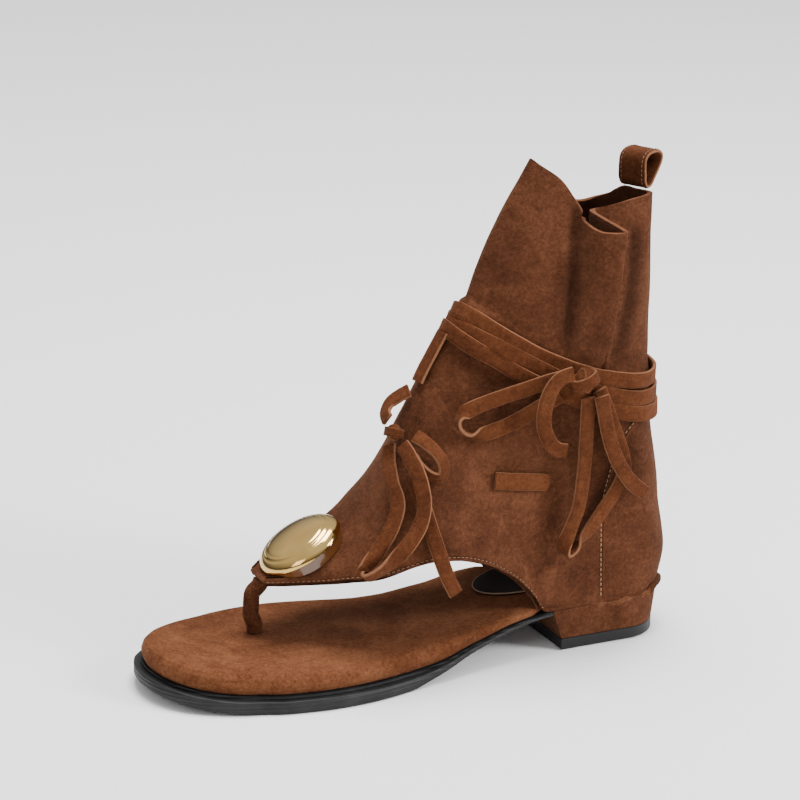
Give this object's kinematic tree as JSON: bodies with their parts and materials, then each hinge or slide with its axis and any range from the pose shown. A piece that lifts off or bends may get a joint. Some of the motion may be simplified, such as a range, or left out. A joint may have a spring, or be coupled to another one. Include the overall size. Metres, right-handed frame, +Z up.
{
  "type": "toe post sandal",
  "caption": "Ankle-high suede toe post sandal for the left foot, open at the toes and sides, with tied straps, a dome ornament and a low block heel.",
  "frame": {"origin": "on the floor, middle of the heel's top lift", "axes": "+Z up from the floor; -X towards the toes; -Y towards the outer side of the left foot"},
  "size_m": [0.2467, 0.093, 0.216],
  "materials": {
    "suede": "brown suede, matte nap",
    "rubber": "dark, satin",
    "pad": "dark brown, matte",
    "amber": "glossy amber brown",
    "gold": "polished gold tone"
  },
  "bodies": {
    "root": {"outsole": "rubber", "footbed": "suede", "insole_pad": "pad", "heel_block": "suede", "top_lift": "rubber", "upper": "suede", "toe_post": "suede", "ornament_base": "amber", "ornament_dome": "gold", "pull_loop": "suede", "side_tab": "suede", "ankle_wraps": "suede", "ankle_knot": "suede", "instep_knot": "suede", "instep_tie": "suede", "ankle_loop_left": "suede", "ankle_curl": "suede", "ankle_loop_down": "suede", "ankle_end": "suede", "instep_loop_long": "suede", "instep_loop_short": "suede", "instep_end": "suede"}
  },
  "joints": []
}
